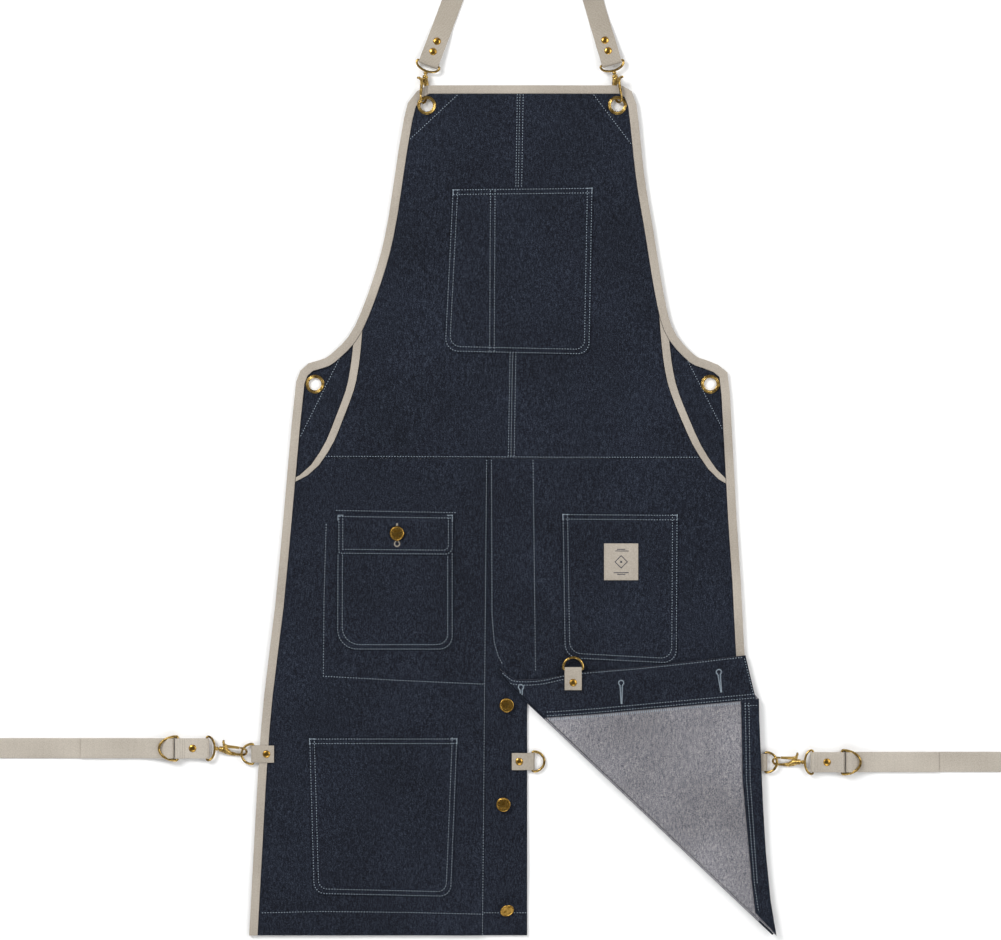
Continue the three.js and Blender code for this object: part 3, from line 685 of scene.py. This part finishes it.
def wire(points, radius, closed=False, thin=None):
    curve = bpy.data.curves.new("wire", "CURVE")
    curve.dimensions = "3D"
    spline = curve.splines.new("POLY")
    spline.points.add(len(points) - 1)
    for i, place in enumerate(points):
        spline.points[i].co = (*(Vector(place) * MM), 1)
        spline.points[i].radius = thin(i / (len(points) - 1)) if thin else 1.0
    spline.use_cyclic_u = closed
    curve.bevel_depth = radius * MM
    curve.bevel_resolution = 3
    curve.use_fill_caps = not closed
    holder = bpy.data.objects.new("wire", curve)
    mesh = bpy.data.meshes.new_from_object(holder)
    bm = bmesh.new()
    bm.from_mesh(mesh)
    bmesh.ops.remove_doubles(bm, verts=bm.verts, dist=1e-6)
    bmesh.ops.recalc_face_normals(bm, faces=bm.faces)
    bpy.data.objects.remove(holder)
    bpy.data.curves.remove(curve)
    bpy.data.meshes.remove(mesh)
    return bm


def joined(*parts):
    whole = parts[0]
    for part in parts[1:]:
        mesh = bpy.data.meshes.new("part")
        part.to_mesh(mesh)
        whole.from_mesh(mesh)
        part.free()
        bpy.data.meshes.remove(mesh)
    return whole


def hardware(name, bm, body, nodes=(), look=None, edge=0.0):
    mesh = meshed(name, bm)
    made = piece(name, mesh, body, look or antique, nodes)
    if edge:
        soften(made, edge, 2)
    else:
        mesh.set_sharp_from_angle(angle=math.radians(50))
    return made


def lie(x, y, z, turn=0.0):
    return Matrix.Translation(at(x, y, z)) @ Matrix.Rotation(turn, 4, "Z")


print("turned parts and wires")

# %% [markdown]
# ### Grommets
# A grommet is two pressed rings. The barrel of the upper one is rolled over the lower one, so from
# above there is an outer lip, a groove and a rolled inner lip round the hole.

# %% Grommets
for name, x, y, low in (("bib_left", -103.5, 995, 4.0), ("bib_right", 125, 995, 4.0),
                        ("side_left", -237.5, 661, 0.9), ("side_right", 236.5, 661, 0.9)):
    high = low + 1.4
    lips = [(7.5, low - 0.3), (7.45, high + 0.4), (7.7, high + 0.95), (8.2, high + 1.25), (8.8, high + 1.2),
            (9.2, high + 0.85), (9.5, high + 0.7), (9.9, high + 0.85), (10.4, high + 1.0),
            (10.9, high + 0.85),
            (11.2, high + 0.45), (11.25, high), (8.1, high), (8.1, low), (10.7, low), (10.7, low - 0.5),
            (10.4, low - 0.7), (8.2, low - 0.7), (7.7, low - 0.55)]
    hardware(f"eyelet_{name}", carried(turned(lips, 56), lie(x, y, 0)), "apron", [f"grommet_{name}"])
print("4 grommets")

# %% [markdown]
# ### Tack buttons and rivets
# A tack button is a pressed cap on a short stem. The cap has a rolled rim and a ring of small beads
# round a shallow dome, which is a plain pattern of this lesson's own. A rivet's head is a low dome.

# %% Buttons
cap = [(0, 0), (2.9, 0), (2.7, 0.3), (2.3, 0.7), (2.3, 2.5), (7.0, 2.65), (8.0, 2.9), (8.45, 3.4), (8.4, 3.9),
       (8.1, 4.25), (7.7, 4.4), (7.3, 4.38), (7.0, 4.25), (6.6, 4.2), (5.0, 4.42), (3.0, 4.62), (0, 4.75)]
for name, x, y, seat, tilt in (("flap", -139, 482, 4.5, (0, 0)), ("top", -7.5, 276, 2.3, (0, 0)),
                               ("middle", -11.5, 157, 2.3, (0, 0)), ("bottom", -8, 32, 4.7, (0.55, 0.3))):
    bm = turned(cap, 40)
    for i in range(16):
        turn = TAU * i / 16
        bead = Matrix.Translation(Vector((5.6 * math.cos(turn), 5.6 * math.sin(turn), 4.3)) * MM)
        bmesh.ops.create_icosphere(bm, subdivisions=1, radius=0.42 * MM, matrix=bead)
    place = lie(x, y, seat) @ Euler((tilt[0], tilt[1], 0)).to_matrix().to_4x4()
    hardware(f"tack_button_{name}", carried(bm, place), "apron", [f"button_{name}"], look=button_brass)
print("4 tack buttons")

# %% [markdown]
# Rivets hold the tabs and the ends of the webbing. All of them share one domed head.

# %% Rivets
dome = [(0, -0.3), (4.55, -0.3), (4.6, 0.1), (4.3, 0.55), (3.4, 1.0), (2.0, 1.35), (0, 1.5)]
heads = [("outer_left", -295.5, 217.5, 5.0, "apron"), ("inner_left", 7.5, 208.5, 5.0, "apron"),
         ("outer_right", 286.5, 207.5, 5.0, "apron"), ("inner_right", 72, 303.5, 10.5, "corner")]
for name, x, y, heading in (("neck_left", -101.1, 1045.1, 69.5), ("neck_right", 118.2, 1045.7, 106.2)):
    for i, (along, z) in enumerate(((15, 6.75), (28.5, 5.05))):
        turn = math.radians(heading)
        heads.append((f"{name}_{i}", x + along * math.cos(turn), y + along * math.sin(turn), z, "apron"))
for side, (x, y, way) in strap_x.items():
    heads.append((f"strap_{side}", x + way * 17, y, 5.5, body_of_node[f"strap_end_{side}"]))
for name, x, y, z, body in heads:
    hardware(f"rivet_{name}", carried(turned(dome, 28), lie(x, y, z)), body, look=button_brass)
print(len(heads), "rivets")

# %% [markdown]
# ### D rings
# Each ring is one wire bent to a D. The two rings on each leg strap grip the webbing between them.

# %% Rings
def ring_path(half, depth, soft=1.5):
    bow = [(soft + (depth - soft) * math.cos(math.pi * (0.5 - i / 28)),
            half * math.sin(math.pi * (0.5 - i / 28)), 0)
           for i in range(29)]
    nick = soft * 0.3
    straight = [(0, (soft - half) + (2 * half - 2 * soft) * i / 6, 0) for i in range(7)]
    return [*straight, (nick, half - nick, 0), *bow, (nick, nick - half, 0)]


outer_tilt = math.asin(2.4 / 14)
for name, x, y, z, turn, tilt in (("outer_left", -311.5, 217.5, 2.5, 0, outer_tilt),
                                  ("inner_left", 23.5, 208.5, 2.5, math.pi, 0),
                                  ("outer_right", 302.5, 207.5, 2.5, math.pi, outer_tilt),
                                  ("inner_right", 72, 319.5, 8.0, -math.pi / 2, 0)):
    place = Matrix.Translation(at(x, y, z)) @ Matrix.Rotation(turn, 4, "Z") @ Matrix.Rotation(tilt, 4, "Y")
    place = place @ Matrix.Rotation(math.pi, 4, "Z")
    bm = carried(wire(ring_path(12, 14), 1.5, closed=True), place)
    hardware(f"d_ring_{name}", bm, body_of_node[f"ring_{name}"], [f"ring_{name}"])
for side, (x, y, way) in strap_x.items():
    for level_name, depth, z in (("low", 19, 3.1), ("high", 22, 6.4)):
        lean = math.radians(-6 if level_name == "high" else 0)  # the webbing lifts the upper ring's bow
        place = lie(x + way * 35, y, z, 0 if way > 0 else math.pi) @ Matrix.Rotation(lean, 4, "Y")
        bm = carried(wire(ring_path(14.3, depth), 1.5, closed=True), place)
        hardware(f"slider_ring_{level_name}_{side}", bm, body_of_node[f"slider_{level_name}_{side}"],
                 [f"slider_{level_name}_{side}"])
print("8 rings")

# %% [markdown]
# ### Snap hooks
# A snap hook is cast in one piece with its bow, closed by a sprung trigger, and turns on an eye whose
# post is riveted through the barrel. It is drawn flat with the bow towards -X, then turned to the
# direction it points in and rolled on its own axis.

# %% Makers for the snap hook
def plate(outline, half, edge):
    bm = bmesh.new()
    face = bm.faces.new([bm.verts.new(Vector((x, y, -half)) * MM) for x, y in outline])
    grown = bmesh.ops.extrude_face_region(bm, geom=[face])["geom"]
    bmesh.ops.translate(bm, vec=(0, 0, 2 * half * MM),
                        verts=[g for g in grown if isinstance(g, bmesh.types.BMVert)])
    bmesh.ops.recalc_face_normals(bm, faces=bm.faces)
    bmesh.ops.bevel(bm, geom=bm.edges[:], offset=edge * MM, segments=2, profile=0.5, affect="EDGES",
                    material=-1)
    return bm


def hook_body():
    bow = [(3, -4.2, 0), (1, -5.2, 0), (-0.5, -5.5, 0), (-8, -5.6, 0)]
    for i in range(17):
        turn = -math.pi / 2 - math.pi * i / 16
        bow.append((-16.5 + 5.5 * math.cos(turn), 5.5 * math.sin(turn), 0))
    bow.append((-13.8, 5.5, 0))
    parts = [wire(bow, 1.4, thin=lambda t: 1.08 - 0.22 * t)]
    cheek = plate(((-9, -6.9), (-2, -7.0), (3, -5.6), (8, -3.2), (8, 3.4), (4, 3.4), (0.5, 1.6), (-3.5, -3.2),
                   (-9, -4.3)), 1.6, 0.45)
    parts.append(cheek)
    lie_along = Matrix.Rotation(math.pi / 2, 4, "Y")
    barrel = [(2.2, 5.0), (2.9, 5.1), (3.3, 5.5), (3.3, 6.6), (2.95, 7.0), (2.95, 7.6), (3.4, 8.0),
              (3.4, 9.4), (3.0, 9.9), (3.0, 10.2), (3.35, 10.5), (3.2, 10.95), (2.2, 11.0)]
    parts.append(carried(turned(barrel, 24), lie_along))
    parts.append(carried(turned([(0, -2.0), (1.0, -2.0), (1.1, -1.7), (1.1, 1.7), (1.0, 2.0), (0, 2.15)], 14),
                         Matrix.Translation(Vector((5.5, -1.2, 0)) * MM)))
    return joined(*parts)


def trigger_body():
    gate = plate(((-13.4, 4.4), (2, 4.1), (6.5, 4.3), (7, 7.4), (7.3, 12.6), (5.3, 12.8), (3.9, 8.2),
                  (1, 7.1), (-13.4, 6.7)), 1.4, 0.5)
    grip = [(0, -1.9), (1.0, -1.9), (1.35, -1.6), (1.35, -0.9), (1.1, -0.7), (1.1, -0.4), (1.35, -0.2),
            (1.35, 0.2), (1.1, 0.4), (1.1, 0.7), (1.35, 0.9), (1.35, 1.6), (1.0, 1.9), (0, 1.9)]
    return joined(gate, carried(turned(grip, 16), Matrix.Translation(Vector((6.3, 12.6, 0)) * MM)))


def eye_body(tilt):
    loop = carried(wire(ring_path(14.2, EYE_DEPTH), 1.4, closed=True),
                   Matrix.Translation(Vector((EYE_POST, 0, 0)) * MM)
                   @ Matrix.Rotation(tilt, 4, "Z") @ Matrix.Translation(Vector((EYE_DEPTH, 0, 0)) * MM)
                   @ Matrix.Rotation(math.pi, 4, "Z"))
    stem = [(0, 8.2), (1.6, 8.3), (1.65, 11.2), (1.6, 12.0), (2.3, 12.5), (2.6, 13.4), (2.4, 14.4),
            (1.7, 15.2), (1.5, 16.0), (1.0, 16.6), (0, 16.7)]
    return joined(loop, carried(turned(stem, 24), Matrix.Rotation(math.pi / 2, 4, "Y")))


print("snap hook makers")

# %% [markdown]
# Each near hook is three pieces, because its trigger and its eye move. A far hook is one piece.

# %% The four near hooks and the two far ones
ROLL = {"neck": math.radians(53), "leg": math.radians(38)}
for name, x, y, z, heading, roll, strap in (
    ("neck_left", -108, 998, 5.9, 84.7, ROLL["neck"], 69.5),
    ("neck_right", 127.5, 998.8, 5.9, 100, math.pi - ROLL["neck"], 106.2),
    ("leg_left", -319.4, 220, 4.9, 173.5, math.pi - ROLL["leg"], 180),
    ("leg_right", 311.5, 209.5, 4.9, -2.5, ROLL["leg"], 0),
):
    turn = math.radians(heading)
    ahead = Vector((math.cos(turn), math.sin(turn), 0)) * BOW_LENGTH * MM
    flat = Matrix.Translation(at(x, y, z) + ahead) @ Matrix.Rotation(turn, 4, "Z")
    rolled = flat @ Matrix.Rotation(roll, 4, "X")
    hardware(f"snap_{name}", carried(hook_body(), rolled), body_of_node[f"hook_{name}"], [f"hook_{name}"])
    hardware(f"snap_trigger_{name}", carried(trigger_body(), rolled), body_of_node[f"trigger_{name}"],
             [f"trigger_{name}"])
    hardware(f"snap_eye_{name}", carried(eye_body(math.radians(strap) - turn), flat),
             body_of_node[f"eye_{name}"], [f"eye_{name}"])
for side, (x, y, way) in strap_x.items():
    reach = STRAP_REACH + EYE_POST + EYE_DEPTH
    place = lie(way * reach, y, 3.4, math.pi if way > 0 else 0)
    made = joined(hook_body(), trigger_body(), eye_body(0))
    hardware(f"far_snap_hook_{side}", carried(made, place), body_of_node[f"far_snap_{side}"],
             [f"far_snap_{side}"])
print("6 snap hooks")

# %% [markdown]
# ## Stitching
# The seams are sewn with a thick pale thread, about three stitches to the centimetre. Each stitch is
# a small stretched ball with 20 faces, laid on the cloth by looking straight down at that spot, so
# it is only there where its own piece of cloth is on top.

# %% The sewing helper
evaluated = bpy.context.evaluated_depsgraph_get()
evaluated.update()


def on_top(x, y):
    place = at(x, y, 60)
    found, spot, normal, _, owner, _ = scene.ray_cast(evaluated, place, (0, 0, -1))
    return (spot, normal, owner.name) if found else (place, Vector((0, 0, 1)), "")


def walk(points, pitch):
    places, left = [], pitch / 2
    for (x0, y0), (x1, y1) in zip(points, points[1:]):
        span = math.hypot(x1 - x0, y1 - y0)
        while left <= span:
            t = left / span
            places.append((x0 + (x1 - x0) * t, y0 + (y1 - y0) * t, math.atan2(y1 - y0, x1 - x0)))
            left += pitch
        left -= span
    return places


stitch_count = 0


def sew(name, body, cloth, rows, thread=None, pitch=3.3, long=1.8, wide=0.95, across=False):
    global stitch_count
    bm = bmesh.new()
    count = 0
    for row in rows:
        for x, y, turn in walk(row, pitch):
            spot, normal, owner = on_top(x, y)
            if owner not in cloth:
                continue
            slope = Vector((0, 0, 1)).rotation_difference(normal).to_matrix().to_4x4()
            turn += math.pi / 2 if across else 0.04 * math.sin(x * 7 + y * 3)
            size = Matrix.Diagonal((long / 2 * MM, wide / 2 * MM, 0.3 * MM, 1))
            place = Matrix.Translation(spot + Vector((0, 0, 0.00008))) @ slope @ Matrix.Rotation(turn, 4,
                                                                                                 "Z") @ size
            bmesh.ops.create_icosphere(bm, subdivisions=1, radius=1, matrix=place)
            count += 1
    mesh = meshed(name, bm)
    stitch_count += count
    piece(name, mesh, body, thread or blue_thread)
    print(name, count, "stitches")


def beside(points, shift):
    moved = []
    for i, (x, y) in enumerate(points):
        x0, y0 = points[max(0, i - 1)]
        x1, y1 = points[min(len(points) - 1, i + 1)]
        span = math.hypot(x1 - x0, y1 - y0) or 1
        moved.append((x - (y1 - y0) / span * shift, y + (x1 - x0) / span * shift))
    return moved


def pocket_rows(corners, radius, insets=(1.4, 6.8)):
    (ax, ay), (bx, by), (cx, cy), (dx, dy) = corners  # upper left, lower left, lower right, upper right
    rows = []
    for k in insets:
        left, right = (radius[0] - k * 0.5, radius[1] - k * 0.5)
        path = [(ax + k, ay)]
        path += [(bx + k + left * (1 - math.cos(t)), by + k + left * (1 - math.sin(t)))
                 for t in [i / 8 * math.pi / 2 for i in range(9)]]
        path += [(cx - k - right * (1 - math.sin(t)), cy + k + right * (1 - math.cos(t)))
                 for t in [i / 8 * math.pi / 2 for i in range(9)]]
        path.append((dx - k, dy))
        rows.append(path)
        rows.append([(ax + 0.5, ay - k), (dx - 0.5, dy - k)])
    return rows


print("sewing helpers")

# %% [markdown]
# Rows are given as lines of points, and a list of cloths says where each row may be seen.

# %% Seams of the body
bib_seam = [(9, 1019), (7, 900), (0, 696), (-2, 573)]
sew("bib_seam", "apron", ("bib_cloth_left", "bib_cloth_right"),
    [beside(bib_seam, k) for k in (-3.6, -0.6, 3.4)])
sew("waist_seam", "apron", ("bib_cloth_left", "bib_cloth_right"),
    [[(-262, 574.5), (-60, 574), (60, 573.3), (262, 573.3)]])
sew("leg_seams", "apron", ("leg_cloth_left", "leg_cloth_right", "strip_cloth"),
    [[(-31.6, 571), (-36.6, 0)], [(-25.8, 571), (-25.2, 385), (-22.6, 352), (-17.5, 334), (-13, 326)],
     [(24, 571), (27, 318)], [(-302, 27), (-230, 28.8), (-120, 27.5), (-36, 25.5)], [(-36, 27), (16.4, 27)]])
sew("hidden_pocket_outline", "apron", ("leg_cloth_left",),
    [[(-224, 494), (-226.6, 400), (-227.3, 310.8), (-140, 306), (-33, 301.2)]])
sew("bib_patches", "apron", ("bib_cloth_left", "bib_cloth_right", "wing_cloth_left", "wing_cloth_right"),
    [[(-66, 1008), (-124, 954)], [(96, 1008.6), (146, 943)], [(-205, 698), (-255, 598)],
     [(205, 698), (258, 594)]])

# %% [markdown]
# A pocket has two rows round its edge and across its top, with a bar tack at each upper corner.

# %% Pocket seams
tops = ("bib_pocket_cloth", "flap_pocket_cloth", "lower_pocket_cloth", "right_pocket_cloth", "flap_cloth")
sew("bib_pocket_seams", "apron", tops, pocket_rows([(-73, 895), (-82, 699), (92.5, 696), (96, 897)], (16, 14))
    + [[(-21.5, 894), (-22.5, 700)], [(-27, 894), (-28, 700)]])
sew("flap_pocket_seams", "apron", ("flap_pocket_cloth",),
    pocket_rows([(-211, 500), (-211.5, 342), (-71.5, 342), (-71.5, 500)], (24, 16)))
sew("lower_pocket_seams", "apron", tops,
    pocket_rows([(-245, 237), (-240, 49), (-73, 46), (-66, 237)], (14, 14)))
sew("right_pocket_seams", "apron", tops,
    pocket_rows([(58.5, 506), (61, 331), (197, 326), (198, 505)], (18, 16)))
sew("flap_seams", body_of_node["pocket_flap"], ("flap_cloth",),
    [row for row in pocket_rows([(-210, 504), (-210, 457), (-71.5, 456), (-71.5, 504)], (3, 9), (1.3, 6.0))
     if len(row) > 2]
    + [[(-209, 502.4), (-72.5, 500.4)]])
sew("flap_hinge_seam", "apron", ("leg_cloth_left",), [[(-213, 509.6), (-68, 506.8)]])
tacks = []
for x, y in ((-73, 895), (96, 897), (-211, 505), (-71.5, 505), (-245, 237), (-66, 237), (58.5, 506),
             (198, 505)):
    side = 1 if x in (-73, -211, -245, 58.5) else -1
    tacks += [[(x + side * 1.2, y - 0.5), (x + side * 1.2, y - 8)],
              [(x + side * 0.5, y - 1.2), (x + side * 8, y - 1.2)]]
sew("bar_tacks", "apron", tops, tacks, pitch=0.8, long=1.6, wide=0.6, across=True)

# %% [markdown]
# The raw edge inside the corner is serged, which is drawn as long stitches across the edge.

# %% Seams of the turned corner
band_top = smooth_line([(-15, 318.5), (-6, 311.5), (4, 306.5), (32, 307), (75, 315), (165, 323),
                        (276, 335.4)])
band_low = smooth_line([(40, 261.5), (104, 266), (224, 277), (290, 283)])
corner = ("band_cloth", "corner_cloth", "corner_hem")
sew("band_seams", "corner", corner,
    [beside(band_top, -1.6), beside(band_top[4:34], -5.5), beside(band_low, 2.2),
    beside(band_low, 6.6), [(277, 333), (288.5, 287)], [(278, 280), (279.6, 186), (289.4, 60), (294, 30)],
    [(282.4, 280), (284, 186), (292.6, 62)], [(293, 276), (278, 276)]])
sew("serged_edge", "corner", corner, [beside(band_low[:-3], -2.4)], pitch=2.4, long=4.2, wide=0.85,
    across=True)
print("corner sewn")


# %% [markdown]
# ### Buttonholes
# A keyhole buttonhole has a round eye at one end, for the button's stem, and a slit that closes to a
# bar. Its whole edge is covered with thread laid side by side, so it is sewn with close stitches
# that lie across its outline.

# %% Buttonholes
def keyhole(x, y, length, turn):
    path = [(0.4, length), (1.2, 8), (1.4, 4.6)]
    path += [(3.1 * math.sin(t), 1.6 - 3.1 * math.cos(t))
             for t in [math.radians(d) for d in range(150, -151, -20)]]
    path += [(-1.4, 4.6), (-1.2, 8), (-0.4, length)]
    flip = [(px, -(py - 1.6)) for px, py in path]
    c, s = math.cos(turn), math.sin(turn)
    return [(x + px * c - py * s, y + px * s + py * c) for px, py in flip]


holes = [keyhole(9.5, 298, 17, 0.05), keyhole(129.5, 303, 27, 0.02), keyhole(246.5, 316, 26, 0.12)]
sew("buttonholes_band", "corner", ("band_cloth",), holes, pitch=0.75, long=2.0, wide=0.6, across=True)
sew("buttonhole_flap", body_of_node["pocket_flap"], ("flap_cloth",), [keyhole(-139, 469.5, 26, math.pi)],
    thread=cream_thread, pitch=0.75, long=2.0, wide=0.6, across=True)

# %% [markdown]
# The tape is sewn in cream thread close to its inner edge, and the label round all four sides.

# %% Tape and label
left_edge = [(-318, -30), (-306, 190), (-298, 290), (-285, 396), (-274, 516), (-266, 606), (-260, 664)]
left_arm = [(-231, 690), (-218, 697), (-192, 726), (-168, 786), (-152, 846), (-138, 936), (-130.5, 980)]
right_edge = [(260, 650), (264, 576), (268, 500), (273, 426), (277, 346), (288, 180), (308, -30)]
right_arm = [(151, 970), (158, 906), (168, 846), (180, 772), (192, 726), (216, 697), (231, 690)]
bindings = ("binding_top", "binding_left", "binding_right", "pocket_binding_left", "pocket_binding_right")
sew("binding_seams", "apron", bindings,
    [beside(smooth_line(left_edge), -7.6), beside(smooth_line(left_arm), -7.6),
     beside(smooth_line(right_edge), -7.6),
     beside(smooth_line(right_arm), -7.6), [(-100, 1011), (130, 1011)]], thread=cream_thread, long=2.0,
    wide=0.6)
sew("label_seams", "apron", ("label_cloth",),
    [[(110.3, 427.3), (148.7, 427.3)], [(148.7, 427.3), (148.7, 468.7)],
    [(148.7, 468.7), (110.3, 468.7)], [(110.3, 468.7), (110.3, 427.3)]], thread=cream_thread, pitch=2.6,
    long=1.8, wide=0.7)
print(stitch_count, "stitches in all")

# %% [markdown]
# ### The label's mark
# A plain mark of this lesson's own, printed in navy: a diamond of four short bars between two
# pairs of lines.

# %% The label's mark
bm = bmesh.new()
for x, y, long, turn in ((125.8, 451.7, 11, 45), (133.2, 451.7, 11, -45), (125.8, 444.3, 11, -45),
                         (133.2, 444.3, 11, 45),
                         (129.5, 461, 18, 0), (129.5, 435, 18, 0), (129.5, 463, 10, 0), (129.5, 433, 10, 0),
                         (129.5, 448, 3.4, 45), (129.5, 448, 3.4, -45)):
    spot = on_top(x, y)[0] + Vector((0, 0, 0.00006))
    place = Matrix.Translation(spot) @ Matrix.Rotation(math.radians(turn), 4, "Z") @ Matrix.Diagonal(
        (long * MM, 0.9 * MM, 0.16 * MM, 1))
    bmesh.ops.create_cube(bm, size=1, matrix=place)
bmesh.ops.bevel(bm, geom=bm.edges[:], offset=0.05 * MM, segments=1, profile=0.5, affect="EDGES", material=-1)
mesh = meshed("label_mark", bm)
piece("label_mark", mesh, "apron", ink)
print("label marked")
